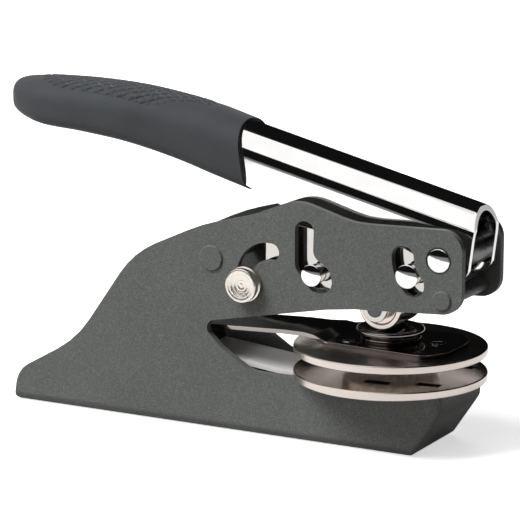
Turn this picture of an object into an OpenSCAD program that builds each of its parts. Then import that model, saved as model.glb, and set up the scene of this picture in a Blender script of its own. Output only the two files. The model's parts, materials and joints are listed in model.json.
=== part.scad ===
// Hand seal embosser: a pressed frame holds a pair of round dies, and a long lever
// pushes a roller down on the upper one.
// Side outlines are lists of [x, z, corner radius]. In the frame, x counts ahead of the die
// axis and z up from the table. Everything is the same on the near and far side.

/* [Frame] */
// Outside width of the pressed frame
frame_w = 26; // [25:0.1:30]
// Sheet thickness of the frame
frame_t = 2; // [1.5:0.1:2.2]
// Outer radius of the rolled bends up the front
bend_r = 1.6; // [1.2:0.1:4]
// Outer radius of the rolled bends along the bottom
sole_r = 2.6; // [1.2:0.1:4]
// Frame's rear foot behind the die axis
foot_reach = 107.9; // [104:0.1:112]
// Front wall of the base ahead of the die axis
base_front = 20.1; // [18:0.1:23]
// Front end of the jaw ahead of the die axis
jaw_front = 25.4; // [25:0.1:30]
// Height of the base's top edges
base_h = 16.9; // [15:0.1:18]
// Height of the jaw's flat top
jaw_h = 59.2; // [58.6:0.1:62]

/* [Lever] */
// Pivot ahead of the die axis
pivot_x = 19; // [18:0.1:19.5]
// Pivot below the jaw's flat top
pivot_drop = 7.7; // [7.4:0.1:8]
// Radius of the pivot pin
pivot_r = 3; // [2.5:0.1:3.4]
// Downward slope of the lever towards the front
lever_tilt = 13.9; // [12:0.1:15]
// Outside width of the lever's channel
channel_w = 16; // [14:0.1:16.2]
// Sheet thickness of the channel
channel_t = 1.5; // [1:0.1:2]
// Top of the channel above the pivot, square to the lever
channel_rise = 13.8; // [13.3:0.1:14.4]
// How far the lever turns down to emboss
press_angle = 14; // [10:0.5:14]
// How far the lever lifts to free the dies
lift_angle = 27; // [15:0.5:28]

/* [Grip] */
// Grip's rear end behind the die axis
grip_reach = 113.2; // [111:0.1:116]
// Thickness of the rubber at the grip's mouth
grip_wall = 1.6; // [1.4:0.05:1.8]
// Extra half width of the grip where the palm sits
palm_swell = 0.6; // [0:0.1:2]

/* [Press arm] */
// Length from the pivot to the drive pin
drive_arm = 9.75; // [9.6:0.05:10.2]
// Direction of the drive pin from the pivot at rest
drive_angle = 209.5; // [206:0.1:212]
// Radius of the drive pin's shank
drive_r = 2.55; // [2:0.05:2.8]
// Radius of the drive pin's heads
drive_head_r = 3.05; // [2.9:0.05:3.4]
// Guide pin behind the die axis
guide_x = -16.2; // [-17:0.1:-16]
// Guide pin below the jaw's flat top
guide_drop = 15; // [14.6:0.1:15.4]
// Radius of the guide pin's shank
guide_r = 2.35; // [2:0.05:2.4]
// Radius of the guide pin's heads
guide_head_r = 2.85; // [2.7:0.05:3.2]
// Sheet thickness of the press arm
arm_t = 1.5; // [0.8:0.05:1.8]
// Radius of the press roller
roller_r = 6; // [5:0.1:6.2]
// Radius of the roller's axle
axle_r = 2; // [1.5:0.1:2.4]

/* [Dies] */
// Radius of the two die discs
disc_r = 25; // [23:0.1:26]
// Thickness of each die disc
disc_t = 2.1; // [1.8:0.05:2.4]
// Open gap between the discs
disc_gap = 4.6; // [4.3:0.05:5]
// Radius of the die plate under the upper disc
die_r = 12.5; // [10:0.5:20]
// Thickness of the die plate
die_t = 2.5; // [1.5:0.1:2.6]
// Thickness of the two spring leaves
leaf_t = 1.2; // [0.8:0.05:1.3]
// Width of the leaves between the frame's sides
leaf_w = 16; // [12:0.5:17]
// Width of the upper leaf where it lies on the disc
leaf_pad_w = 26.6; // [24:0.1:28]
// Rear end of the leaves behind the die axis
leaf_reach = 62; // [60:0.5:66]
// Radius of the pressure boss's upper flange
boss_r = 8.8; // [7.5:0.1:9]
// Height of the pressure boss
boss_h = 3.3; // [3:0.1:3.6]

/* [Latch] */
// Centre of the latch slot's bend behind the die axis
latch_x = -28.8; // [-29.2:0.1:-28.4]
// Centre of the latch slot's bend below the jaw's flat top
latch_drop = 16.9; // [16.5:0.1:17.3]
// Radius of the latch slot's bend
latch_arm = 6.8; // [6.5:0.1:7]
// Radius of the latch stud
latch_r = 2; // [1.5:0.05:2.1]
// Radius of the latch knob
knob_r = 4.5; // [3.8:0.1:5]
// Length of the latch knob
knob_l = 3; // [2.6:0.1:6]
// Direction of the latch stud from the bend's centre at rest
latch_rest = 199; // [196:1:203]
// How far the latch turns to its other end
latch_sweep = 115; // [105:1:118]

/* [Hidden] */

$fn = 64;
arc_step = 9;     // degrees between points on a rounded corner
over = 1;         // cutters run this far past what they cut
run_gap = 0.05;   // radial clearance of a turning fit
seat_gap = 0.01;  // radial clearance of a fixed fit
slot_gap = 0.3;   // clearance of the latch stud in its slot
pin_play = 0.5;   // clearance of the drive and guide pins in their slots
side_gap = 0.1;   // clearance between sliding sheet faces
roller_gap = 0.3; // roller above the boss at rest
dome = 0.6;       // how far the pins' heads stand out of the frame
head_gap = 0.15;  // heads clear of the frame's face
rivet_proud = 0.5;  // how far the tie rivets stand out of the frame

half_w = frame_w / 2;
inner_w = half_w - frame_t;
channel_r = channel_w / 2;
arm_in = channel_r + side_gap;
arm_out = arm_in + arm_t;

lower_top = base_h + disc_t;
upper_low = lower_top + disc_gap;
upper_top = upper_low + disc_t;
leaf_low = base_h - leaf_t;
leaf_top = upper_top + leaf_t;
boss_top = leaf_top + boss_h;

pivot = [pivot_x, jaw_h - pivot_drop];
drive = pivot + drive_arm * at(drive_angle);
guide = [guide_x, jaw_h - guide_drop];
axle = [0, boss_top + roller_gap + roller_r];
latch_mid = [latch_x, jaw_h - latch_drop];
latch = latch_mid + latch_arm * at(latch_rest);
rear_tie = [-45.5, jaw_h - 13.4];
front_tie = [20.1, jaw_h - 17.7];
slot_end = 2;     // degrees that a curved slot runs past the pin at each end
rear_tie_r = 2.2;
front_tie_r = 2.1;
tenon_r = 1.7;

// ---- outlines ----

function unit(v) = v / norm(v);

// Points of one rounded corner b of an outline, between its neighbours a and c
function corner(a, b, c) =
    let (p = [b.x, b.y],
         u = unit([a.x, a.y] - p),
         w = unit([c.x, c.y] - p),
         half = acos(u * w) / 2,
         mid = p + unit(u + w) * b.z / sin(half),
         from = p + u * b.z / tan(half) - mid,
         to = p + w * b.z / tan(half) - mid,
         start = atan2(from.y, from.x),
         turn = (atan2(to.y, to.x) - start + 540) % 360 - 180,
         n = max(1, ceil(abs(turn) / arc_step)))
    b.z == 0 ? [p] : [for (i = [0:n]) mid + b.z * at(start + turn * i / n)];

function outline(pts) =
    let (n = len(pts))
    [for (i = [0:n - 1]) each corner(pts[(i + n - 1) % n], pts[i], pts[(i + 1) % n])];

function at(a) = [cos(a), sin(a)];

// Points on an arc of radius r about p, from angle a1 to a2, without its two ends
function arc(p, r, a1, a2) =
    let (n = ceil(abs(a2 - a1) / arc_step))
    [for (i = [1:n - 1]) p + r * at(a1 + (a2 - a1) * i / n)];

// Outline of a slot of half width w that follows an arc of radius r about the origin
function arc_slot(r, w, a1, a2) =
    concat([(r + w) * at(a1)], arc([0, 0], r + w, a1, a2), [(r + w) * at(a2)],
           arc(r * at(a2), w, a2, a2 + 180), [(r - w) * at(a2)],
           arc([0, 0], r - w, a2, a1), [(r - w) * at(a1)],
           arc(r * at(a1), w, a1 + 180, a1 + 360));

module place() translate([die_x, 0, 0]) children();

// Stands a side outline up and gives it its width from y0 to y1
module side(y0, y1) translate([0, y1, 0]) rotate([90, 0, 0]) linear_extrude(y1 - y0) children();

module both() for (s = [0, 1]) mirror([0, s, 0]) children();

// A rod across the part, from y0 to y1, centred on point p of the side view
module rod(p, r, y0, y1) translate([p.x, y1, p.y]) rotate([90, 0, 0]) cylinder(h = y1 - y0, r = r);

// A turned piece across the part: rows of [radius, y], near side first
module turned(p, rows) translate([p.x, 0, p.y]) rotate([-90, 0, 0]) rotate_extrude() polygon(rows);

// ---- frame ----

chin_z = 12;
chin_x = base_front - 8;

frame_pts = [
    [-foot_reach, 0, 1.2], [-foot_reach + 1.3, 8.6, 8], [-87.3, base_h + 2.6, 32],
    [-69.1, jaw_h - 14.2, 28], [-49, jaw_h - 5.1, 50], [-34, jaw_h - 1.1, 16],
    [-20.6, jaw_h + 4.2, 12], [-4.6, jaw_h - 0.5, 24], [jaw_front, jaw_h + 0.2, 5.6],
    [jaw_front, 38.3, 5.4],
    [-8, 36.5, 60], [-47.2, 28.9, 2.2], [-46.7, 26, 2], [-42.6, 22.2, 6], [-34, base_h, 10],
    [base_front, base_h, 0.6], [base_front, chin_z, 8], [chin_x, 0, 4]];

hollow_pts = [
    [-foot_reach - over, frame_t, 0], [chin_x - frame_t / 2, frame_t, 2],
    [base_front - frame_t, chin_z, 6], [base_front - frame_t, base_h, 0],
    [jaw_front + over, base_h, 0], [jaw_front + over, jaw_h + 10, 0],
    [-foot_reach - over, jaw_h + 10, 0]];

// The guide slot, measured from the guide pin at rest
guide_slot = [
    [-4.8, 13.8, 2.5], [0.6, 13.8, 2.5], [0.4, 5, 3], [5, 1.8, 2.6], [6.1, -2.2, 2.6],
    [3.3, -4.8, 2.6], [0, -4.1, 2], [-4.8, 1.4, 4]];

// Cuts the square edges of the outline's stretch a to b down to the bend radius r
module edge_cut(a, b, r)
    translate([a.x, 0, a.y]) rotate([0, -atan2(b.y - a.y, b.x - a.x), 0])
        both() difference() {
            translate([-2 * r, half_w - r, -over])
                cube([norm(b - a) + 4 * r, r + over, r + over]);
            translate([-3 * r, half_w - r, r])
                rotate([0, 90, 0]) cylinder(h = norm(b - a) + 6 * r, r = r);
        }

module slots_2d() {
    translate(pivot) polygon(arc_slot(drive_arm, drive_r + pin_play,
                                      drive_angle - lift_angle - slot_end,
                                      drive_angle + press_angle + slot_end));
    translate(guide) polygon(outline(guide_slot));
    translate(latch_mid) polygon(arc_slot(latch_arm, latch_r + slot_gap,
                                          latch_rest - latch_sweep - slot_end,
                                          latch_rest + slot_end));
}

module frame() color([0.36, 0.38, 0.37]) place() difference() {
    side(-half_w, half_w) polygon(outline(frame_pts));
    side(-inner_w, inner_w) polygon(outline(hollow_pts));
    side(-half_w - over, half_w + over) slots_2d();
    edge_cut([-foot_reach, 0], [chin_x, 0], sole_r);
    edge_cut([chin_x, 0], [base_front, chin_z], bend_r);
    edge_cut([base_front, chin_z], [base_front, base_h], bend_r);
    rod(pivot, pivot_r + seat_gap, -half_w - over, half_w + over);
    both() rod(pivot, pivot_r + ring_w, half_w - ring_depth, half_w + over);
    rod(rear_tie, tenon_r + seat_gap, -half_w - over, half_w + over);
    rod(front_tie, tenon_r + seat_gap, -half_w - over, half_w + over);
}

ring_w = 0.4;      // open ring round the pivot pin's end
ring_depth = 0.6;
rear_head_r = 3.5;
front_head_r = 2.6;
tie_edge = 0.3;    // chamfer of the tie rivets' heads

// A rivet that ties the frame's sides: shoulder, tenons through the sheet, low heads
module tie(p, shoulder_r, head_r) color([0.36, 0.38, 0.37]) place() {
    rod(p, shoulder_r, -inner_w, inner_w);
    rod(p, tenon_r, -half_w - rivet_proud, half_w + rivet_proud);
    both() translate([p.x, half_w, p.y]) rotate([-90, 0, 0])
        cylinder(h = rivet_proud, r1 = head_r, r2 = head_r - tie_edge);
}

module rear_spacer() tie(rear_tie, rear_tie_r, rear_head_r);
module front_spacer() tie(front_tie, front_tie_r, front_head_r);

crown_h = 0.38;    // height of the shallow crown on a pin's end
crown_steps = 6;

// Profile of a crown of radius r and height h whose top is at reach, from its edge inwards
function crown(r, reach, h) =
    let (ball = (r * r + h * h) / (2 * h), a = asin(r / ball) / crown_steps)
    [for (i = [crown_steps:-1:0]) [ball * sin(a * i), reach - ball * (1 - cos(a * i))]];

// A half profile on the near side, from the one on the far side
function mirrored(rows) = [for (i = [len(rows) - 1:-1:0]) [rows[i].x, -rows[i].y]];

module symmetric(p, rows) turned(p, concat(mirrored(rows), rows));

// A cross pin whose crowned heads stand out of the frame
module headed_pin(p, shank, head) color("silver") place()
    symmetric(p, concat([[shank, half_w + head_gap], [head, half_w + head_gap]],
                        crown(head, half_w + head_gap + dome, crown_h)));

module pivot_pin() color("silver") place()
    symmetric(pivot, crown(pivot_r, half_w + crown_h, crown_h));

// ---- lower die and its clip ----

anvil_rear = -18;
anvil_front = chin_x - frame_t - 0.5;
anvil_low = frame_t + seat_gap;
anvil_wall = 2;
anvil_y = inner_w - side_gap;

module anvil() color("dimgray") place() difference() {
    translate([anvil_rear, -anvil_y, anvil_low])
        cube([anvil_front - anvil_rear, 2 * anvil_y, leaf_low - anvil_low]);
    translate([anvil_rear + anvil_wall, -anvil_y - over, anvil_low - over])
        cube([anvil_front - anvil_rear - 2 * anvil_wall, 2 * (anvil_y + over),
              leaf_low - anvil_low - anvil_wall + over]);
}

leaf_front = 14;
leaf_kick = 2.7;
clip_x = -leaf_reach + 4.5;
clip_l = 9;
rivet_r = 1.3;
clip_rivet_y = leaf_w / 4;

module lower_leaf() color("gainsboro") place() difference() {
    side(-leaf_w / 2, leaf_w / 2) polygon(outline([
        [leaf_front, base_h, 0], [-26, base_h, 8], [-52, base_h + leaf_kick, 8],
        [-leaf_reach, base_h + leaf_kick, 0], [-leaf_reach, leaf_low + leaf_kick, 0],
        [-52, leaf_low + leaf_kick, 8], [-26, leaf_low, 8], [leaf_front, leaf_low, 0]]));
    lower_rivet_holes();
    clip_holes();
}

module clip_holes() for (y = [-clip_rivet_y, clip_rivet_y])
    translate([clip_x, y, 0]) cylinder(h = leaf_top + over, r = rivet_r + seat_gap);

module clip_block() color("dimgray") place() difference() {
    translate([clip_x - clip_l / 2, -leaf_w / 2, base_h + leaf_kick])
        cube([clip_l, leaf_w, upper_top - base_h - leaf_kick]);
    clip_holes();
}

clip_head_r = 2.4;
clip_head_h = 0.8;
clip_low = leaf_low + leaf_kick;

module clip_rivets() color("silver") place() for (y = [-clip_rivet_y, clip_rivet_y])
    translate([clip_x, y, 0]) rotate_extrude()
        polygon([[0, clip_low - clip_head_h], [clip_head_r - tie_edge, clip_low - clip_head_h],
                 [clip_head_r, clip_low], [rivet_r, clip_low], [rivet_r, leaf_top],
                 [clip_head_r, leaf_top], [clip_head_r - tie_edge, leaf_top + clip_head_h],
                 [0, leaf_top + clip_head_h]]);

lower_rivet_x = 10.8;
upper_rivets = [[-8.2, -7.3], [-8.2, 7.3], [13.3, 0]];
rivet_skin = 0.6;       // metal left over the lower rivets
mark_l = 6.4;
mark_w = 2.8;
mark_at = [[3.3, -14.5], [15.7, -10.6]];
mark_turn = 6;
mark_depth = 1.1;
edge = 0.25;            // chamfer of a disc's rims

module lower_rivet_holes() for (x = [-lower_rivet_x, lower_rivet_x])
    translate([x, 0, leaf_low - over])
        cylinder(h = over + leaf_t + disc_t - rivet_skin, r = rivet_r + seat_gap);

// A disc with softly broken edges
module disc(z0) translate([0, 0, z0]) rotate_extrude($fn = 128)
    polygon([[0, 0], [disc_r - edge, 0], [disc_r, edge], [disc_r, disc_t - edge],
             [disc_r - edge, disc_t], [0, disc_t]]);

// Two shallow notches near each side of the face
module lower_disc() color("silver") place() difference() {
    disc(base_h);
    lower_rivet_holes();
    for (p = mark_at) both() translate([p.x, p.y, lower_top - mark_depth])
        rotate([0, 0, mark_turn]) translate([-mark_l / 2, -mark_w / 2, 0])
            cube([mark_l, mark_w, mark_depth + over]);
}

module lower_disc_rivets() color("silver") place() for (x = [-lower_rivet_x, lower_rivet_x])
    translate([x, 0, leaf_low])
        cylinder(h = leaf_t + disc_t - rivet_skin - seat_gap, r = rivet_r);

// ---- upper die ----

pad_front = 19.2;
pad_rear = -13;
pad_taper = 2;      // pad's half width at its rear is smaller by this much
leaf_step = 1;      // strip behind the pad lies higher by this much

// Height of the leaf along its length, for its top face or, lower, for its bottom face
function leaf_line(z) = [
    [pad_front + over, z, 0], [pad_rear, z, 3], [pad_rear - 4.5, z + leaf_step, 3],
    [-27, z + leaf_step, 20], [-50, z, 30], [-leaf_reach - over, z, 0]];

half_pad = [
    [-leaf_reach, leaf_w / 2, 0], [pad_rear - 8, leaf_w / 2, 6],
    [pad_rear, leaf_pad_w / 2 - pad_taper, 4], [pad_front - 4, leaf_pad_w / 2, 5],
    [pad_front, leaf_pad_w / 4, 8]];

module upper_leaf() color([0.2, 0.19, 0.19]) place() difference() {
    intersection() {
        linear_extrude(jaw_h) polygon(outline(concat(half_pad,
            [for (i = [len(half_pad) - 1:-1:0]) [half_pad[i].x, -half_pad[i].y, half_pad[i].z]])));
        side(-leaf_pad_w, leaf_pad_w) polygon(outline(concat(leaf_line(leaf_top),
            [for (i = [5:-1:0]) leaf_line(upper_top)[i]])));
    }
    clip_holes();
    upper_holes();
}

screw_r = 2;

module upper_holes() {
    for (p = upper_rivets) translate([p.x, p.y, upper_low - over])
        cylinder(h = disc_t + leaf_t + 2 * over, r = rivet_r + seat_gap);
    translate([0, 0, upper_low - over]) cylinder(h = disc_t + leaf_t + 2 * over, r = screw_r + seat_gap);
}

module upper_disc() color("silver") place() difference() {
    disc(upper_low);
    upper_holes();
}

module die_plate() color([0.75, 0.68, 0.5]) place()
    translate([0, 0, upper_low - die_t]) rotate_extrude($fn = 96)
        polygon([[0, 0], [die_r - edge, 0], [die_r, edge], [die_r, die_t], [0, die_t]]);

foot_r = boss_r - 0.9;
neck_r = boss_r - 2;
boss_cap = 0.8;         // metal left over the screw at the boss's top

module pressure_boss() color([0.2, 0.19, 0.19]) place() difference() {
    translate([0, 0, leaf_top]) rotate_extrude($fn = 96)
        polygon(outline([[0, 0, 0], [foot_r, 0, 0.2], [foot_r, boss_h * 0.3, 0.4],
                         [neck_r, boss_h * 0.34, 0.3], [neck_r, boss_h * 0.5, 0.3],
                         [boss_r, boss_h * 0.56, 0.4], [boss_r, boss_h, 0.7], [0, boss_h, 0]]));
    translate([0, 0, leaf_top - over])
        cylinder(h = boss_h - boss_cap + over, r = screw_r + seat_gap);
}

module boss_screw() color("silver") place() translate([0, 0, upper_low])
    cylinder(h = boss_top - boss_cap - seat_gap - upper_low, r = screw_r);

dimple_r = 2.1;
dimple_h = 0.6;
dimple_base = leaf_top - upper_low;

module upper_disc_rivets() color("silver") place() for (p = upper_rivets)
    translate([p.x, p.y, upper_low]) rotate_extrude()
        polygon([[0, 0], [rivet_r, 0], [rivet_r, dimple_base], [dimple_r, dimple_base],
                 [dimple_r * 0.8, dimple_base + dimple_h * 0.75], [0, dimple_base + dimple_h]]);

// ---- lever ----
// Its outlines are measured from the pivot, with x along the lever towards the front.

grip_mouth = 37.9;
mouth_lean = 2.8;   // the mouth's top lies this much behind its bottom
mouth_l = -58.2;
tail_lap = 9;       // how far the straight channel runs on inside the grip

lever_pts = [
    [3, channel_rise, 0.4], [5.2, 8.6, 2], [6.5, -2.6, 2], [2.8, -6.2, 2.4], [-1.2, -7, 2.4],
    [-4.8, -10.2, 2.5], [-8.2, -10.9, 3.2], [-12.4, -9.2, 4], [-19.5, -7.6, 8],
    [-27, -5.0, 15], [-40, -3.6, 20], [mouth_l, -0.8, 0], [mouth_l - tail_lap, 0.6, 0],
    [mouth_l - tail_lap, channel_rise, 0]];

// The channel's tail, bent level inside the grip: x ahead of the die axis, z above the pivot
tail_pts = [
    [-36, 15, 0], [-36, 25.7, 0], [-58, 30.4, 30], [-76, 33, 30], [-103, 33.5, 2.5],
    [-103, 27.9, 2.5], [-80, 25.7, 30], [-60, 21.7, 30]];
tail_joint = 4;     // length of the tail that the straight channel covers

// The die axis ahead of the origin, which is halfway between the part's two ends
lever_front = max([for (p = outline(lever_pts))
                   pivot.x + p.x * cos(lever_tilt) + p.y * sin(lever_tilt)]);
die_x = (grip_reach - max(jaw_front, lever_front)) / 2;

module on_lever() translate([pivot.x, 0, pivot.y]) rotate([0, lever_tilt, 0]) children();

// Solid with the channel's outside: flat sides under a half-round top
module channel_solid(r) intersection() {
    side(-r, r) polygon(outline(lever_pts));
    channel_bar(r);
}

round_z = channel_rise - channel_r;
bar_low = -20;
bar_from = mouth_l - 2 * tail_lap;
bar_l = 95;

// A long bar with a half-round top, of half width r
module channel_bar(r) {
    translate([bar_from, -r, bar_low]) cube([bar_l, 2 * r, round_z - bar_low]);
    translate([bar_from, 0, round_z]) rotate([0, 90, 0]) cylinder(h = bar_l, r = r);
}

module channel_inside() channel_bar(channel_r - channel_t);

tail_half = channel_r - channel_t / 2;

module tail_side(y, grow) translate([0, 0, pivot.y]) side(-y, y)
    offset(delta = grow) polygon(outline(tail_pts));

module tail_solid(grow) tail_side(tail_half + grow, grow);

module handle_channel() color("silver") place() difference() {
    union() {
        on_lever() difference() {
            channel_solid(channel_r);
            channel_inside();
        }
        difference() {
            translate([0, 0, pivot.y]) side(-tail_half, tail_half) polygon(outline(tail_pts));
            translate([0, 0, pivot.y - channel_t]) side(channel_t - tail_half, tail_half - channel_t)
                polygon(outline(tail_pts));
            translate([-grip_mouth - mouth_lean, -tail_half - over, pivot.y])
                cube([mouth_lean + tail_joint, 2 * (tail_half + over), jaw_h]);
        }
    }
    rod(pivot, pivot_r + run_gap, -half_w, half_w);
    rod(drive, drive_r + seat_gap, -half_w, half_w);
}

bush_t = 1.3;

module pivot_bush() color("dimgray") place() difference() {
    rod(pivot, pivot_r + bush_t, -channel_r + channel_t, channel_r - channel_t);
    rod(pivot, pivot_r + run_gap, -half_w, half_w);
}

module drive_pin() headed_pin(drive, drive_r, drive_head_r);

// Rows of [x, top, bottom, half width] along the grip, rear end first. Heights are counted
// from the pivot
mouth_half = channel_r + grip_wall;
grip_rows = [
    [-grip_reach, 33.2, 30.1, 1.2], [-grip_reach + 0.7, 35.2, 28.5, 4.2],
    [-grip_reach + 2.8, 36.3, 27, 6.8], [-grip_reach + 7, 36.8, 25.2, 8.6],
    [-100, 37, 23.8, mouth_half + palm_swell / 2], [-88, 37, 22.8, mouth_half + palm_swell],
    [-74, 36.2, 21, mouth_half + palm_swell], [-60, 34.3, 17.8, mouth_half],
    [-48, 32, 14.3, mouth_half], [-grip_mouth, 29.8, 11.5, mouth_half]];
ring_steps = 3;
ring_n = 32;
crown_power = 0.9;  // near 1 is an ellipse, smaller is squarer
belly_power = 0.45;
lean_l = 12;        // the lean begins this far behind the mouth

// Smooth curve through the rows a, b, c, d, at t between b and c
function blend(a, b, c, d, t) =
    0.5 * ((2 * b) + (c - a) * t + (2 * a - 5 * b + 4 * c - d) * t * t
           + (3 * b - a - 3 * c + d) * t * t * t);

function grip_row(i) =
    let (k = min(floor(i / ring_steps), len(grip_rows) - 2), t = i / ring_steps - k,
         last = len(grip_rows) - 1)
    blend(grip_rows[max(k - 1, 0)], grip_rows[k], grip_rows[k + 1],
          grip_rows[min(k + 2, last)], t);

function power(v, e) = sign(v) * pow(abs(v), e);

// One ring of the grip: rounder above than below
function grip_ring(row) =
    [for (j = [0:ring_n - 1])
        let (a = 360 * j / ring_n, e = sin(a) > 0 ? crown_power : belly_power,
             up = power(sin(a), e), mid = (row.y + row.z) / 2, half = (row.y - row.z) / 2,
             lean = mouth_lean * max(0, 1 + (row.x + grip_mouth) / lean_l) * (1 + up) / 2)
        [row.x - lean, row[3] * power(cos(a), e), mid + half * up]];

module grip_outer() {
    rings = ring_steps * (len(grip_rows) - 1) + 1;
    points = [for (i = [0:rings - 1]) each grip_ring(grip_row(i))];
    walls = [for (i = [0:rings - 2], j = [0:ring_n - 1])
        let (a = i * ring_n + j, b = i * ring_n + (j + 1) % ring_n)
        each [[a, b, b + ring_n], [a, b + ring_n, a + ring_n]]];
    rear = [for (j = [1:ring_n - 2]) [0, j + 1, j]];
    front = [for (j = [1:ring_n - 2]) (rings - 1) * ring_n * [1, 1, 1] + [0, j, j + 1]];
    polyhedron(points, concat(walls, rear, front));
}

module grip() color([0.26, 0.27, 0.28]) place() difference() {
    translate([0, 0, pivot.y]) grip_outer();
    on_lever() channel_solid(channel_r + run_gap);
    tail_solid(run_gap);
}

// ---- press arm ----

hub_r = 3.4;
eye_r = 5.2;
arm_rear = -31.3;

arm_pts = [
    [arm_rear, guide.y + 0.4, 1.5], [arm_rear + 3.4, guide.y - 4, 1.5], [-8, guide.y - 4, 3],
    [-hub_r, axle.y, 0], [hub_r, axle.y, 0], [drive.x + 3, drive.y - 4.1, 0],
    [drive.x + 3.6, drive.y + 3.6, 0], [8, pivot.y + 1.6, 2], [-10, pivot.y + 3.1, 8],
    [-22, pivot.y + 4.6, 8], [arm_rear, pivot.y + 2.1, 2]];
tie_l = 8;          // strip under the guide pin that joins the arm's two sides

module press_arm() color("gainsboro") place() difference() {
    union() {
        both() side(arm_in, arm_out) {
            polygon(outline(arm_pts));
            translate(drive) circle(r = eye_r);
            translate(axle) circle(r = hub_r);
        }
        translate([arm_rear + 4.3, -arm_in - arm_t / 2, guide.y - 4])
            cube([tie_l, 2 * arm_in + arm_t, arm_t]);
    }
    rod(drive, drive_r + run_gap, -half_w, half_w);
    rod(guide, guide_r + seat_gap, -half_w, half_w);
    rod(axle, axle_r + seat_gap, -half_w, half_w);
}

module guide_pin() headed_pin(guide, guide_r, guide_head_r);

module roller_axle() color("silver") place() rod(axle, axle_r, -arm_out, arm_out);

roller_half = channel_r - 1.4;
roller_dish = 0.5;
roller_rim = 1.3;
nose_r = axle_r + 0.9;
nose_half = arm_in - side_gap;

// Half profile of the roller, from its rim inwards
roller_rows = [
    [roller_r, roller_half - edge], [roller_r - edge, roller_half],
    [roller_r - roller_rim, roller_half], [roller_r - roller_rim - edge, roller_half - roller_dish],
    [nose_r, roller_half - roller_dish], [nose_r, nose_half], [0, nose_half]];

module roller() color("gainsboro") place() difference() {
    symmetric(axle, roller_rows);
    rod(axle, axle_r + run_gap, -half_w, half_w);
}

// ---- latch ----

clip_t = 0.5;
knob_seat = half_w + 0.2;

module latch_studs() color("silver") place() both()
    rod(latch, latch_r, arm_out + side_gap, knob_seat);

module latch_clips() color("dimgray") place() both() difference() {
    rod(latch, latch_r + 1.1, inner_w - side_gap - clip_t, inner_w - side_gap);
    rod(latch, latch_r + seat_gap, arm_out, inner_w);
}

module latch_knobs() color("silver") place() both() translate([latch.x, knob_seat, latch.y])
    rotate([-90, 0, 0]) rotate_extrude()
        polygon([[0, 0], [knob_r + 0.2, 0], [knob_r + 0.2, knob_l * 0.25], [knob_r - 0.3, knob_l * 0.35],
                 [knob_r - 0.3, knob_l * 0.45], [knob_r, knob_l * 0.55],
                 [knob_r, knob_l - edge], [knob_r - edge, knob_l], [knob_r * 0.84, knob_l],
                 [knob_r * 0.4, knob_l * 0.8], [0, knob_l * 0.72]]);

frame();
rear_spacer();
front_spacer();
pivot_pin();
anvil();
lower_leaf();
clip_block();
clip_rivets();
lower_disc();
lower_disc_rivets();
upper_leaf();
upper_disc();
die_plate();
pressure_boss();
boss_screw();
upper_disc_rivets();
handle_channel();
pivot_bush();
drive_pin();
grip();
press_arm();
guide_pin();
roller_axle();
roller();
latch_studs();
latch_clips();
latch_knobs();
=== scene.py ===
# %% [markdown]
# # A hand seal embosser
# The real object is a small desk press. A pressed grey frame holds two round dies, and a chrome
# lever with a rubber grip pushes a roller down on the upper one. The construction comes in as a
# fixed frame of named solids. This lesson dresses each of them: it rounds the edges that a press
# or a lathe would leave round, moulds the rubber, and mixes a finish for each metal.

# %% Load the construction
import json
import math

import bmesh
import bpy
import numpy as np
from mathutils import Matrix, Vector


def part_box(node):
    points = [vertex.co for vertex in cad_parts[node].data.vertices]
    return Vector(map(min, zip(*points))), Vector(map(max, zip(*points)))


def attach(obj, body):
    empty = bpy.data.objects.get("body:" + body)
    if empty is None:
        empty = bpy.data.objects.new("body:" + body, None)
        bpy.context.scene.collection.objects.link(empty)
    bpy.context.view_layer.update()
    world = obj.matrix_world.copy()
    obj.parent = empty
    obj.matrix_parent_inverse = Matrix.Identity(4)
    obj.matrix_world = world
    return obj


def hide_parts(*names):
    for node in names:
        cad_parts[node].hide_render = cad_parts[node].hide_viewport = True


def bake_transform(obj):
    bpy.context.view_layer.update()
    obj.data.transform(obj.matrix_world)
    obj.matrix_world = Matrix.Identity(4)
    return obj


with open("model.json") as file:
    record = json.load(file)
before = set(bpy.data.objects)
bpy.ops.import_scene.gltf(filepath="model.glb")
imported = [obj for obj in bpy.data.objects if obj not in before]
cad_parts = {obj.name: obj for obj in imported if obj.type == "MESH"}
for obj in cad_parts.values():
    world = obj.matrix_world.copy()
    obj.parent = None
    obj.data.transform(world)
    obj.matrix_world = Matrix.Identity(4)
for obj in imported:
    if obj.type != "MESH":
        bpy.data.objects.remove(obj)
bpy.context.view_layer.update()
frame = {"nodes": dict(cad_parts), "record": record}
MM = 0.001
print("solids to dress:", len(frame["nodes"]))

# %% [markdown]
# Everything on this object is placed from two lines: the upright axis through the middle of the
# dies, and the lever's pivot. Reading them from the solids, and not typing them in, keeps the
# dressing on the construction when a size changes.

# %% Find the die axis and the pivot


def middle(node):
    low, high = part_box(node)
    return Vector(((low[0] + high[0]) / 2, (low[1] + high[1]) / 2, (low[2] + high[2]) / 2))


die_axis = middle("upper_disc")
pivot = middle("pivot_pin")
table_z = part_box("frame")[0][2]
print("die axis at x = %.1f mm, pivot at z = %.1f mm" % (die_axis.x / MM, pivot.z / MM))

# %% [markdown]
# A product photograph like this one is taken from a little above the table, with a long lens, so
# that the sides stay nearly parallel. A camera on a circle round the object is the plainest way to
# write that: which side it looks from, how high, how far away, and which point fills the middle.

# %% Place the camera
CAMERA_SIDE = 28.66      # degrees from the flat side view towards the dies
CAMERA_HEIGHT = 11.87    # degrees above level
CAMERA_DISTANCE = 0.6558
CAMERA_LENS = 173.1      # mm
SENSOR_WIDTH = 36        # mm
FROM_DIES = Vector((-0.0382, 0.0, 0.0436))

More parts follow.
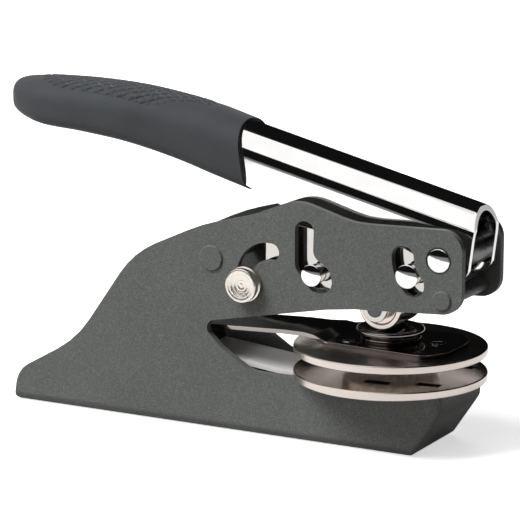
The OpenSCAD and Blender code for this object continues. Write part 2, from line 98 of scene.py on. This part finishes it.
side, tilt = math.radians(CAMERA_SIDE), math.radians(CAMERA_HEIGHT)
back = Vector((math.sin(side) * math.cos(tilt), -math.cos(side) * math.cos(tilt), math.sin(tilt)))
aim = Vector((die_axis.x, 0, 0)) + FROM_DIES
camera = bpy.data.objects.new("camera", bpy.data.cameras.new("camera"))
camera.data.lens = CAMERA_LENS
camera.data.sensor_width = SENSOR_WIDTH
camera.location = aim + back * CAMERA_DISTANCE
camera.rotation_euler = (math.pi / 2 - tilt, 0, side)
bpy.context.scene.collection.objects.link(camera)
bpy.context.scene.camera = camera
bpy.context.scene.view_settings.view_transform = "Standard"
print("camera %.0f mm from the middle of the picture" % (CAMERA_DISTANCE / MM))

# %% [markdown]
# Metal has no look of its own: it shows the room. Here the room is dark, with one wide white
# window in front and to the left. It starts a little above the table and ends overhead, as a
# studio's soft box does. On the channel's round top it is the white stripe, and the dark room
# behind and below it draws the two black ones. The window could be built from white cards, but a
# few sums on the direction of a ray do the same.

# %% Paint the room


def add(tree, kind, **values):
    """Makes a shader node and sets its properties or its inputs by name."""
    node = tree.nodes.new(kind)
    for key, value in values.items():
        if key in node.inputs:
            node.inputs[key].default_value = value
        else:
            setattr(node, key, value)
    return node


def math_node(tree, operation, first, second=0.0):
    """Makes one sum of two values, each a number or another node's output."""
    node = tree.nodes.new("ShaderNodeMath")
    node.operation = operation
    for place, value in enumerate((first, second)):
        if isinstance(value, (int, float)):
            node.inputs[place].default_value = value
        else:
            tree.links.new(value, node.inputs[place])
    return node.outputs[0]


def fade(tree, value, start, end):
    """Rises from 0 to 1 while value goes from start to end."""
    node = add(tree, "ShaderNodeMapRange", interpolation_type="SMOOTHSTEP")
    tree.links.new(value, node.inputs["Value"])
    node.inputs["From Min"].default_value = start
    node.inputs["From Max"].default_value = end
    return node.outputs["Result"]


def in_metal(tree, path):
    """1 for a ray that a shiny surface sends on, otherwise 0."""
    return math_node(tree, "MAXIMUM", path.outputs["Is Glossy Ray"],
                     path.outputs["Is Transmission Ray"])


WINDOW_LIGHT = 1.15
WINDOW_SILL = 0.33       # height of the window's lower edge, as a sine
SILL_BELOW, SILL_ABOVE = 0.04, 0.05  # how softly that edge begins and ends
WINDOW_RIGHT = 0.12      # how far it reaches to the right, also a sine
RIGHT_SOFT = 0.2
FRONT_FROM, FRONT_TO = 0.05, -0.04   # overhead, where the front half of the room begins
ROOM_DARK = 0.006
WINDOW_FILL = 0.80       # how much of the window's light falls on matt surfaces

world = bpy.data.worlds.new("room")
bpy.context.scene.world = world
world.use_nodes = True
tree = world.node_tree
tree.nodes.clear()
coords = add(tree, "ShaderNodeTexCoord")
axes = add(tree, "ShaderNodeSeparateXYZ")
tree.links.new(coords.outputs["Generated"], axes.inputs[0])
in_front = fade(tree, axes.outputs["Y"], FRONT_FROM, FRONT_TO)
over_sill = fade(tree, axes.outputs["Z"], WINDOW_SILL - SILL_BELOW, WINDOW_SILL + SILL_ABOVE)
left_part = fade(tree, axes.outputs["X"], WINDOW_RIGHT + RIGHT_SOFT, WINDOW_RIGHT - RIGHT_SOFT)
window = math_node(tree, "MULTIPLY", math_node(tree, "MULTIPLY", in_front, over_sill), left_part)
glow = math_node(tree, "ADD", math_node(tree, "MULTIPLY", window, WINDOW_LIGHT), ROOM_DARK)
path = add(tree, "ShaderNodeLightPath")
share = math_node(tree, "ADD", math_node(tree, "MULTIPLY", in_metal(tree, path), 1 - WINDOW_FILL),
                  WINDOW_FILL)
strength = math_node(tree, "MAXIMUM", math_node(tree, "MULTIPLY", glow, share),
                     path.outputs["Is Camera Ray"])
room = add(tree, "ShaderNodeBackground", Color=(1, 1, 1, 1))
tree.links.new(strength, room.inputs["Strength"])
out = add(tree, "ShaderNodeOutputWorld")
tree.links.new(room.outputs[0], out.inputs["Surface"])
print("window from %.0f degrees up" % math.degrees(math.asin(WINDOW_SILL)))

# %% [markdown]
# The floor is a plain pale sheet. It should look white in the picture and in the metal, and still
# hold the object's soft shadow, so it glows a little for rays from the camera and from gloss, and
# is ordinary matt paper for everything else. In the metal the sheet ends about a quarter of a metre
# in front of the object, where the room's dark begins, as paper on a studio table does.

# %% Lay the floor
FLOOR_HALF = 3.0
FLOOR_GLOW = 0.62        # what the paper adds of its own for the camera
GLOSS_GLOW = 0.10        # and what it adds in the metal
SHEET_FROM, SHEET_TO = 0.235, 0.270  # where the sheet ends in the metal, metres in front
PAPER_BOUNCE = 0.15      # how much light the paper throws back at the object
PAPER_WHITE = 0.88       # and how pale it looks to the camera and in the metal

floor_mesh = bpy.data.meshes.new("floor")
floor_mesh.from_pydata([(x * FLOOR_HALF, y * FLOOR_HALF, table_z)
                        for x, y in ((-1, -1), (1, -1), (1, 1), (-1, 1))], [], [(0, 1, 2, 3)])
floor = bpy.data.objects.new("floor", floor_mesh)
bpy.context.scene.collection.objects.link(floor)
floor_finish = bpy.data.materials.new("floor_white")
floor_finish.use_nodes = True
tree = floor_finish.node_tree
shader = tree.nodes["Principled BSDF"]
shader.inputs["Roughness"].default_value = 0.9
shader.inputs["Specular IOR Level"].default_value = 0.1
shader.inputs["Emission Color"].default_value = (1, 1, 1, 1)
coords = add(tree, "ShaderNodeTexCoord")
reach = add(tree, "ShaderNodeVectorMath", operation="DOT_PRODUCT")
tree.links.new(coords.outputs["Object"], reach.inputs[0])
reach.inputs[1].default_value = (math.sin(side), -math.cos(side), 0)
sheet = fade(tree, reach.outputs["Value"], SHEET_TO, SHEET_FROM)
path = add(tree, "ShaderNodeLightPath")
mirrored = in_metal(tree, path)
beyond = math_node(tree, "MULTIPLY", math_node(tree, "SUBTRACT", 1.0, sheet), mirrored)
kept = math_node(tree, "SUBTRACT", 1.0, beyond)
seen = math_node(tree, "MAXIMUM", path.outputs["Is Camera Ray"], mirrored)
own_light = math_node(tree, "MAXIMUM",
                      math_node(tree, "MULTIPLY", path.outputs["Is Camera Ray"], FLOOR_GLOW),
                      math_node(tree, "MULTIPLY", mirrored, GLOSS_GLOW))
tree.links.new(math_node(tree, "MULTIPLY", own_light, kept), shader.inputs["Emission Strength"])
paper = add(tree, "ShaderNodeMix", data_type="RGBA")
paper.inputs["A"].default_value = (PAPER_BOUNCE, PAPER_BOUNCE, PAPER_BOUNCE, 1)
paper.inputs["B"].default_value = (PAPER_WHITE, PAPER_WHITE, PAPER_WHITE, 1)
tree.links.new(math_node(tree, "MULTIPLY", seen, kept), paper.inputs["Factor"])
tree.links.new(paper.outputs["Result"], shader.inputs["Base Color"])
floor.data.materials.append(floor_finish)
print("floor at z = %.1f mm" % (table_z / MM))

# %% [markdown]
# The window alone would leave the light flat, so a large soft lamp hangs high on the left, and a
# weaker one behind keeps the far side readable. A third, low and weak, reaches under the dies. All
# are hidden from gloss, so that the metal mirrors only the window and the floor.

# %% Hang the lamps
LAMP_SIZE = 0.6
AIM_BEHIND, AIM_HEIGHT = 0.03, 0.04  # the lamps look at this point behind and above the dies


def lamp(name, place, power):
    light = bpy.data.lights.new(name, "AREA")
    light.shape = "SQUARE"
    light.size = LAMP_SIZE
    light.energy = power
    thing = bpy.data.objects.new(name, light)
    thing.location = Vector((die_axis.x, 0, 0)) + Vector(place)
    toward = Vector((die_axis.x - AIM_BEHIND, 0, AIM_HEIGHT)) - thing.location
    thing.rotation_euler = toward.to_track_quat("-Z", "Y").to_euler()
    thing.visible_glossy = False
    bpy.context.scene.collection.objects.link(thing)


lamp("key_lamp", (-0.50, -0.50, 0.92), 15.0)
lamp("back_lamp", (-0.45, 0.85, 0.75), 3.0)
lamp("low_lamp", (-0.10, -1.00, 0.16), 1.8)

# %% [markdown]
# Each finish below is a small function that returns a material. They share a start: a principled
# shader, with coordinates taken from the object, so that grain keeps its real size in metres.

# %% Start a finish
NOISE_LOW, NOISE_HIGH = 0.3, 0.7     # a noise keeps mostly between these


def finish(name, colour, metallic, roughness):
    made = bpy.data.materials.new(name)
    made.use_nodes = True
    shader = made.node_tree.nodes["Principled BSDF"]
    shader.inputs["Base Color"].default_value = (*colour, 1)
    shader.inputs["Metallic"].default_value = metallic
    shader.inputs["Roughness"].default_value = roughness
    made["coords"] = add(made.node_tree, "ShaderNodeTexCoord").name
    return made, made.node_tree, shader


def object_coords(made, tree):
    return tree.nodes[made["coords"]].outputs["Object"]


def noise(made, tree, per_mm, detail=2.0):
    node = add(tree, "ShaderNodeTexNoise", Scale=per_mm / MM, Detail=detail)
    tree.links.new(object_coords(made, tree), node.inputs["Vector"])
    return node.outputs["Fac"]


def ramp(tree, factor, stops):
    node = tree.nodes.new("ShaderNodeValToRGB")
    tree.links.new(factor, node.inputs["Fac"])
    band = node.color_ramp
    while len(band.elements) < len(stops):
        band.elements.new(0.5)
    for element, (place, colour) in zip(band.elements, stops):
        element.position = place
        element.color = (*colour, 1)
    return node.outputs["Color"]


def vary(tree, factor, low, high):
    node = add(tree, "ShaderNodeMapRange")
    tree.links.new(factor, node.inputs["Value"])
    node.inputs["From Min"].default_value = NOISE_LOW
    node.inputs["From Max"].default_value = NOISE_HIGH
    node.inputs["To Min"].default_value = low
    node.inputs["To Max"].default_value = high
    return node.outputs["Result"]


def bump(tree, shader, height, depth_mm, strength=1.0):
    node = add(tree, "ShaderNodeBump", Strength=strength, Distance=depth_mm * MM)
    tree.links.new(height, node.inputs["Height"])
    tree.links.new(node.outputs["Normal"], shader.inputs["Normal"])


print("finishes start from one shader each")

# %% [markdown]
# The frame is coated with a fine textured powder paint: dark grey, slightly green, with grains of
# paler pigment and a faint pebbled skin. Two noises make it, one for the pigment and a finer one
# for the skin. Painted steel is not metal to the light, so the sheen comes from the coat. Along the
# upper edges a second, paler and more metallic mix is kept: a painted highlight line where the
# top of the rolled edge catches the light.

# %% Mix the powder coat
GRAINS = 4.2             # per mm


def powder_coat():
    made, tree, shader = finish("powder_coat_grey", (0.12, 0.126, 0.118), 0.0, 0.5)
    grains = noise(made, tree, GRAINS)
    clouds = noise(made, tree, 0.05)
    colour = ramp(tree, grains, ((0.34, (0.096, 0.100, 0.094)), (0.54, (0.131, 0.137, 0.128)),
                                 (0.68, (0.182, 0.189, 0.179))))
    shade = ramp(tree, clouds, ((0.3, (0.95, 0.95, 0.95)), (0.7, (1.04, 1.04, 1.04))))
    mix = add(tree, "ShaderNodeMix", data_type="RGBA", blend_type="MULTIPLY")
    mix.inputs["Factor"].default_value = 1.0
    tree.links.new(colour, mix.inputs["A"])
    tree.links.new(shade, mix.inputs["B"])
    tree.links.new(mix.outputs["Result"], shader.inputs["Base Color"])
    tree.links.new(vary(tree, grains, 0.5, 0.4), shader.inputs["Roughness"])
    shader.inputs["Specular IOR Level"].default_value = 0.2
    bump(tree, shader, noise(made, tree, 2.4), 0.04, 0.45)
    return made


def highlight_edge():
    # A paler, shinier mix for the frame's upward outer edges: a painted highlight line along them.
    made, tree, shader = finish("powder_coat_highlight", (0.72, 0.72, 0.70), 0.8, 0.25)
    patches = noise(made, tree, 0.5, 3.0)
    tree.links.new(ramp(tree, patches, ((0.35, (0.62, 0.62, 0.61)), (0.65, (0.80, 0.80, 0.79)))),
                   shader.inputs["Base Color"])
    tree.links.new(vary(tree, patches, 0.24, 0.36), shader.inputs["Roughness"])
    return made


coat = powder_coat()
coat_highlight = highlight_edge()
print("powder coat grains about %.2f mm" % (1 / GRAINS))

# %% [markdown]
# Chrome, nickel and the dark plated steel differ in colour and in how much they blur. None of
# them is perfectly even: handling leaves a faint film, so roughness drifts a little from place to
# place. Turned faces also carry rings, which a wave over the distance from an axis makes.

# %% Mix the metals
FILM = 0.12              # drifts of the film, per mm
FILM_SHADE = 0.94        # how much of the colour is left where it is thick


def plated(name, colour, rough_low, rough_high):
    made, tree, shader = finish(name, colour, 1.0, rough_low)
    film = noise(made, tree, FILM, 4.0)
    tree.links.new(vary(tree, film, rough_low, rough_high), shader.inputs["Roughness"])
    dark = tuple(FILM_SHADE * c for c in colour)
    tree.links.new(ramp(tree, film, ((0.35, dark), (0.65, colour))), shader.inputs["Base Color"])
    bump(tree, shader, noise(made, tree, 0.6), 0.01, 0.15)
    return made


def turned(name, colour, rough_low, rough_high, centre, axis, rings_per_mm, depth_mm):
    """A plated finish with lathe rings round the line through centre along axis x, y or z."""
    made = plated(name, colour, rough_low, rough_high)
    tree = made.node_tree
    shader = tree.nodes["Principled BSDF"]
    shift = add(tree, "ShaderNodeVectorMath", operation="SUBTRACT")
    tree.links.new(object_coords(made, tree), shift.inputs[0])
    shift.inputs[1].default_value = centre
    flat = add(tree, "ShaderNodeVectorMath", operation="MULTIPLY")
    tree.links.new(shift.outputs[0], flat.inputs[0])
    flat.inputs[1].default_value = {"x": (0, 1, 1), "y": (1, 0, 1), "z": (1, 1, 0)}[axis]
    length = add(tree, "ShaderNodeVectorMath", operation="LENGTH")
    tree.links.new(flat.outputs[0], length.inputs[0])
    wave = math_node(tree, "SINE", math_node(tree, "MULTIPLY", length.outputs["Value"],
                                             2 * math.pi * rings_per_mm / MM))
    bump(tree, shader, wave, depth_mm, 0.6)
    return made


CHROME = (0.90, 0.89, 0.88)
NICKEL = (0.68, 0.61, 0.56)
chrome = plated("chrome_bright", CHROME, 0.03, 0.07)
nickel = plated("nickel_satin", NICKEL, 0.16, 0.24)
arm_nickel = plated("nickel_polished", (0.55, 0.53, 0.50), 0.04, 0.08)
# Lower leaf: partly its own pale satin steel tone, partly a painted reflection; near-white and
# almost matt, so lamplight gives it the brightness of the floor mirrored in it.
spring_steel = plated("spring_steel", (0.94, 0.92, 0.90), 0.42, 0.5)
spring_steel.node_tree.nodes["Principled BSDF"].inputs["Metallic"].default_value = 0.12
black_chrome = plated("black_chrome", (0.32, 0.29, 0.27), 0.06, 0.12)
oiled_steel = plated("oiled_steel", (0.13, 0.13, 0.135), 0.28, 0.4)
disc_nickel = turned("nickel_disc", NICKEL, 0.2, 0.27, die_axis, "z", 2.5, 0.004)
knob_nickel = turned("nickel_turned", (0.80, 0.74, 0.68), 0.28, 0.34, middle("latch_knobs"),
                     "y", 1.1, 0.05)
die_nickel = turned("nickel_die", (0.66, 0.58, 0.49), 0.22, 0.34, die_axis, "z", 3.0, 0.006)
print("film drifts over about %.0f mm" % (1 / FILM))

# %% [markdown]
# The grip is dipped or moulded rubber, charcoal and matt. Rubber has a broad soft sheen and a very
# fine skin. A little paler dust in the open grain keeps it from looking like plain plastic.

# %% Mix the rubber


def rubber():
    made, tree, shader = finish("rubber_charcoal", (0.070, 0.073, 0.077), 0.0, 0.6)
    shader.inputs["Specular IOR Level"].default_value = 0.15
    shader.inputs["Sheen Weight"].default_value = 0.22
    shader.inputs["Sheen Roughness"].default_value = 0.4
    skin = noise(made, tree, 4.0, 3.0)
    clouds = noise(made, tree, 0.08, 3.0)
    tree.links.new(ramp(tree, clouds, ((0.3, (0.047, 0.050, 0.054)), (0.7, (0.059, 0.063, 0.067)))),
                   shader.inputs["Base Color"])
    tree.links.new(vary(tree, skin, 0.5, 0.62), shader.inputs["Roughness"])
    bump(tree, shader, skin, 0.03, 0.35)
    return made


grip_rubber = rubber()
print("rubber mixed")

# %% [markdown]
# A pressed or turned part never has a razor edge, and the thin light line along an edge is what
# makes it look real. So each solid is copied, its flat faces are joined again, and every edge
# sharper than an angle is rolled over by a fraction of a millimetre. The copy stands for the
# solid and rides on the same body.

# %% Soften the edges of a solid
SAME_POINT = 2e-6        # metres between corners that count as one
FLAT = 0.5               # degrees between faces that count as one
EDGE_SHARP = 30          # degrees from which an edge is rolled over
SHADE_SHARP = 40         # and from which it stays sharp in the shading
FRAME_EDGE = 0.42        # mm
UPWARD = 0.25            # a face tilts up when its normal rises more than this
HIGHLIGHT_DEPTH = 22        # painted highlight edges lie no further than this under the pivot, mm
HIGHLIGHT_WIDTH = 0.45      # and within this of the frame's outer side, mm

bodies = frame["record"]["behaviour"]["bodies"]
body_of = {node: body for body, nodes in bodies.items() for node in nodes}


def link(name, mesh, made):
    thing = bpy.data.objects.new(name, mesh)
    bpy.context.scene.collection.objects.link(thing)
    mesh.materials.clear()
    mesh.materials.append(made)
    return thing


def applied(thing):
    """Bakes a piece's modifiers into its mesh."""
    bpy.context.view_layer.update()
    ready = thing.evaluated_get(bpy.context.evaluated_depsgraph_get())
    mesh = bpy.data.meshes.new_from_object(ready)
    thing.modifiers.clear()
    thing.data = mesh
    return thing


def shaded(thing):
    """Smooths a piece, and lets each large flat face keep its own flat shading."""
    thing.data.shade_smooth()
    thing.data.set_sharp_from_angle(angle=math.radians(SHADE_SHARP))
    even = thing.modifiers.new("even", "WEIGHTED_NORMAL")
    even.keep_sharp = True
    even.weight = 100
    return applied(thing)


def softened(node, made, radius_mm, segments=2, edge=None):
    """Copies a solid with its edges rolled over. The edges can have a finish of their own."""
    solid = bmesh.new()
    solid.from_mesh(frame["nodes"][node].data)
    bmesh.ops.remove_doubles(solid, verts=solid.verts, dist=SAME_POINT)
    bmesh.ops.dissolve_limit(solid, angle_limit=math.radians(FLAT),
                             verts=solid.verts, edges=solid.edges)
    mesh = bpy.data.meshes.new(node + "_dressed")
    solid.to_mesh(mesh)
    solid.free()
    thing = link(node + "_dressed", mesh, made)
    roll = thing.modifiers.new("roll", "BEVEL")
    roll.width = radius_mm * MM
    roll.segments = segments
    roll.limit_method = "ANGLE"
    roll.angle_limit = math.radians(EDGE_SHARP)
    roll.use_clamp_overlap = True
    if edge:
        mesh.materials.append(edge)
        roll.material = 1
    shaded(applied(thing))
    if node != "upper_leaf":
        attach(thing, body_of[node])
    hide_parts(node)
    return thing


def sliced(thing, start, end, cuts):
    """Cuts a long piece across, so that shading runs evenly along it."""
    along = (Vector(end) - Vector(start)) / (cuts - 1)
    work = bmesh.new()
    work.from_mesh(thing.data)
    for i in range(cuts):
        bmesh.ops.bisect_plane(work, geom=work.verts[:] + work.edges[:] + work.faces[:],
                               plane_co=Vector(start) + along * i, plane_no=along.normalized())
    work.to_mesh(thing.data)
    work.free()
    return shaded(thing)


# The frame's upward outer edge faces keep the paler mix as a painted highlight line; all others
# take the coat.
shell = softened("frame", coat, FRAME_EDGE, edge=coat_highlight)
outer_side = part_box("frame")[1][1]
for face in shell.data.polygons:
    upward = face.normal.z > UPWARD and face.center.z > pivot.z - HIGHLIGHT_DEPTH * MM
    outside = abs(face.center.y) > outer_side - HIGHLIGHT_WIDTH * MM
    if face.material_index == 1 and not (upward and outside):
        face.material_index = 0
print("frame edges rolled by %.2f mm, rubbed faces:" % FRAME_EDGE,
      sum(face.material_index for face in shell.data.polygons))

# %% [markdown]
# The pieces of metal all go the same way, each with its own finish and edge. Rolled pins have a
# rounder edge than sheet. The pieces hidden inside are dressed too, because they show as soon as
# the lever lifts or somebody looks from below.

# %% Dress the metal pieces
# node, finish and edge radius in mm
METAL_PIECES = (
    ("rear_spacer", coat, 0.15), ("front_spacer", coat, 0.15),
    ("handle_channel", chrome, 0.5), ("pivot_pin", chrome, 0.12), ("drive_pin", chrome, 0.12),
    ("guide_pin", chrome, 0.12), ("latch_studs", chrome, 0.1), ("latch_knobs", knob_nickel, 0.15),
    ("press_arm", arm_nickel, 0.15), ("roller", nickel, 0.1), ("lower_leaf", spring_steel, 0.15),
    ("upper_disc", disc_nickel, 0.1), ("lower_disc", disc_nickel, 0.1),
    ("clip_rivets", nickel, 0.1), ("lower_disc_rivets", nickel, 0.05),
    ("upper_disc_rivets", black_chrome, 0.1),
    ("pressure_boss", black_chrome, 0.08), ("boss_screw", oiled_steel, 0.1),
    ("roller_axle", oiled_steel, 0.2), ("pivot_bush", oiled_steel, 0.15),
    ("anvil", oiled_steel, 0.2), ("clip_block", oiled_steel, 0.2),
    ("latch_clips", oiled_steel, 0.08), ("die_plate", die_nickel, 0.1))

for node, made, radius_mm in METAL_PIECES:
    softened(node, made, radius_mm)
print("metal pieces dressed:", len(METAL_PIECES))

# %% [markdown]
# The channel's round top is made of long narrow facets. Cut across every few millimetres, they
# shade as one even curve, and the stripes of the window run straight from the grip to the front.

# %% Even out the channel
LEVER_TILT = 13.9        # degrees down to the front
CUTS_BEHIND, CUTS_AHEAD = 0.066, 0.003   # how far the cuts reach from the pivot, metres
CUTS = 24

lever_tilt = math.radians(LEVER_TILT)
lever_line = Vector((math.cos(lever_tilt), 0, -math.sin(lever_tilt)))
channel = sliced(bpy.data.objects["handle_channel_dressed"], pivot - lever_line * CUTS_BEHIND,
                 pivot + lever_line * CUTS_AHEAD, CUTS)
print("channel faces:", len(channel.data.polygons))

# %% [markdown]
# The walls and floors of the lower disc's notches get the dark oiled steel, as painted shade in
# these recesses. They are the faces that lie below the disc's top, inside its rim and off its
# middle.

# %% Darken the notches
NOTCH_FROM, NOTCH_TO = 0.12, 1.3     # how far under the disc's top the faces lie, mm
NOTCH_REACH = 23         # they lie within this of the die axis, mm
NOTCH_CLEAR = 5          # and more than this beside it, mm

disc = bpy.data.objects["lower_disc_dressed"]
disc_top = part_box("lower_disc")[1][2]
# The oiled steel on the notch faces is painted shade in the recesses.
disc.data.materials.append(oiled_steel)
shaded_notch_faces = 0
for face in disc.data.polygons:
    place = face.center - die_axis
    under_top = disc_top - NOTCH_TO * MM < face.center.z < disc_top - NOTCH_FROM * MM
    if under_top and place.xy.length < NOTCH_REACH * MM and abs(place.y) > NOTCH_CLEAR * MM:
        face.material_index = 1
        shaded_notch_faces += 1
print("notch faces:", shaded_notch_faces)

# %% [markdown]
# The grip is a sleeve with a rounded nose, drawn through cross-sections from nose to mouth. Each
# section is a squared-off oval, rounder above than below, and a smooth curve joins them. It could
# be carved from a subdivided block, but sections keep its outside where the construction has it.

# %% Draw the grip's sections
low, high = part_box("grip")
nose_x, mouth_x = low[0], high[0]
# distance from the nose, then top and bottom above the pivot, and half width, all in mm
SECTIONS = (
    (0.0, 33.2, 30.1, 1.2), (0.7, 35.2, 28.5, 4.2), (2.8, 36.3, 27.0, 6.8), (7.0, 36.8, 25.2, 8.6),
    (13.2, 37.0, 23.8, 9.9), (25.2, 37.0, 22.8, 10.2), (39.2, 36.2, 21.0, 10.2),
    (53.2, 34.3, 17.8, 9.6), (65.2, 32.0, 14.3, 9.6), (75.3, 29.8, 11.5, 9.6))
CROWN, BELLY = 0.9, 0.45    # powers of the oval above and below: 1 is an ellipse
LEAN, LEAN_L = 2.8, 12.0    # the mouth's top lies this much behind, from this far in, mm


def through(rows, t):
    """Smooth curve through rows of numbers, with t counted in rows."""
    rows = np.array(rows)
    k = min(int(t), len(rows) - 2)
    t -= k
    b, c = rows[k], rows[k + 1]
    a, d = rows[max(k - 1, 0)], rows[min(k + 2, len(rows) - 1)]
    return 0.5 * (2 * b + (c - a) * t + (2 * a - 5 * b + 4 * c - d) * t ** 2
                  + (3 * b - a - 3 * c + d) * t ** 3)


def squared(value, power):
    return math.copysign(abs(value) ** power, value)


print("grip %.1f mm long" % ((mouth_x - nose_x) / MM))

# %% [markdown]
# The upper side carries a moulded field of diamonds where the palm presses. It is real relief:
# two families of slanting grooves cross on a field that stands slightly above the plain skin. The
# field's edge follows the palm: narrow at the nose, wide over the middle, and drawn to a point
# on the crest towards the mouth.

# %% Mould the grip
RINGS = 300
AROUND = 200
DIAMOND = 3.8            # mm between grooves, along the grip
SLANT = 0.72             # how long a diamond is across the grip for each mm along it
GROOVE = 0.6             # mm deep
SKIN = 0.22              # the plain skin lies this much under the diamonds, mm
INSET = 0.02             # and the diamonds' tops this much inside the construction, mm
SLEEVE = 1.3             # mm thick
SLEEVE_SHARP = 50        # degrees from which its shading stays sharp
GROOVE_FROM, GROOVE_TO = 0.03, 0.13  # a groove's wall, as shares of the diamond
FIELD_EDGE = 0.35        # mm over which the field rises from the skin
# distance from the nose and half width of the field, measured over the surface, mm
FIELD = ((9.0, 0.5), (11.0, 4.8), (15.5, 7.7), (20.6, 8.6), (31.4, 9.15), (45.3, 9.5),
         (48.8, 8.5), (52.2, 5.5), (60.6, 2.5), (62.1, 0.0))


def smooth_step(low, high, value):
    t = min(max((value - low) / (high - low), 0.0), 1.0)
    return t * t * (3 - 2 * t)


def relief(along, across):
    """How far the surface lies under the diamonds' tops, in mm."""
    half = np.interp(along, [row[0] for row in FIELD], [row[1] for row in FIELD], left=-1, right=-1)
    inside = smooth_step(0.0, FIELD_EDGE, half - abs(across))
    u = (along / DIAMOND + across / (SLANT * DIAMOND)) % 1
    v = (along / DIAMOND - across / (SLANT * DIAMOND)) % 1
    edge = min(u, 1 - u, v, 1 - v)
    wall = smooth_step(GROOVE_FROM, GROOVE_TO, edge)
    return SKIN * (1 - inside) + inside * GROOVE * (1 - wall)


def plain_ring(i):
    """One ring of the grip before the relief, in mm from the nose and the table."""
    along, top, bottom, half = through(SECTIONS, i / RINGS * (len(SECTIONS) - 1))
    ring = []
    for j in range(AROUND):
        turn = 2 * math.pi * j / AROUND
        power = CROWN if math.sin(turn) > 0 else BELLY
        y = half * squared(math.cos(turn), power)
        up = squared(math.sin(turn), power)
        z = (top + bottom) / 2 + (top - bottom) / 2 * up
        lean = LEAN * max(0.0, 1 + (along - SECTIONS[-1][0]) / LEAN_L) * (1 + up) / 2
        ring.append(Vector((along - lean, y, z + pivot.z / MM)))
    return ring


def from_crest(ring):
    """How far each point lies from the crest, measured over the surface, in mm."""
    across = [0.0] * AROUND
    for way in (1, -1):
        for step in range(1, AROUND // 3):
            j = (AROUND // 4 + way * step) % AROUND
            last = (j - way) % AROUND
            across[j] = across[last] + way * (ring[j] - ring[last]).length
    return across


def mould_grip():
    rings = [plain_ring(i) for i in range(RINGS + 1)]
    verts = []
    for i, ring in enumerate(rings):
        before, after = rings[max(i - 1, 0)], rings[min(i + 1, RINGS)]
        across = from_crest(ring)
        for j, point in enumerate(ring):
            normal = (after[j] - before[j]).cross(ring[(j + 1) % AROUND] - ring[j - 1])
            if normal.length > 0:
                normal.normalize()
            above = math.sin(2 * math.pi * j / AROUND) > 0
            spot = point + normal * (INSET + (relief(point.x, across[j]) if above else SKIN))
            verts.append((nose_x + spot.x * MM, spot.y * MM, spot.z * MM))
    faces = []
    for i in range(RINGS):
        near, far = i * AROUND, (i + 1) * AROUND
        for j in range(AROUND):
            nxt = (j + 1) % AROUND
            faces.append((near + j, near + nxt, far + nxt, far + j))
    faces.append(tuple(reversed(range(AROUND))))
    mesh = bpy.data.meshes.new("grip_sleeve")
    mesh.from_pydata(verts, [], faces)
    return mesh


grip = link("grip_sleeve", mould_grip(), grip_rubber)
surface = bmesh.new()
surface.from_mesh(grip.data)
bmesh.ops.recalc_face_normals(surface, faces=surface.faces)
surface.to_mesh(grip.data)
surface.free()
sleeve = grip.modifiers.new("sleeve", "SOLIDIFY")
sleeve.thickness = SLEEVE * MM
sleeve.offset = -1
applied(grip)
grip.data.shade_smooth()
grip.data.set_sharp_from_angle(angle=math.radians(SLEEVE_SHARP))
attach(grip, "lever")
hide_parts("grip")
print("grip points:", len(grip.data.vertices))

# %% [markdown]
# The upper spring leaf is clamped at the rear and riveted to the upper disc in front, so it bends
# as the die goes down. Its edges are rolled like the others, only more, as on a tumbled strip. The
# strip is then cut across into short lengths between the clamped rear and the riveted front, where
# the bend would run; the leaf itself is not bent here, nor attached to the frame or the die.

# %% Form the upper leaf
CLAMPED = 0.010          # metres of the leaf's rear, in the clamp, left uncut
RIVETED = 0.022          # metres behind the die axis where the cuts end, towards the rivets

low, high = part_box("upper_leaf")
BEND_FROM = low[0] + CLAMPED
BEND_TO = die_axis.x - RIVETED
leaf = softened("upper_leaf", black_chrome, 0.3, segments=3)
sliced(leaf, (BEND_FROM, 0, 0), (BEND_TO, 0, 0), CUTS)
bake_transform(leaf)
print("leaf %.0f mm long, in %d faces" % ((high[0] - low[0]) / MM, len(leaf.data.polygons)))
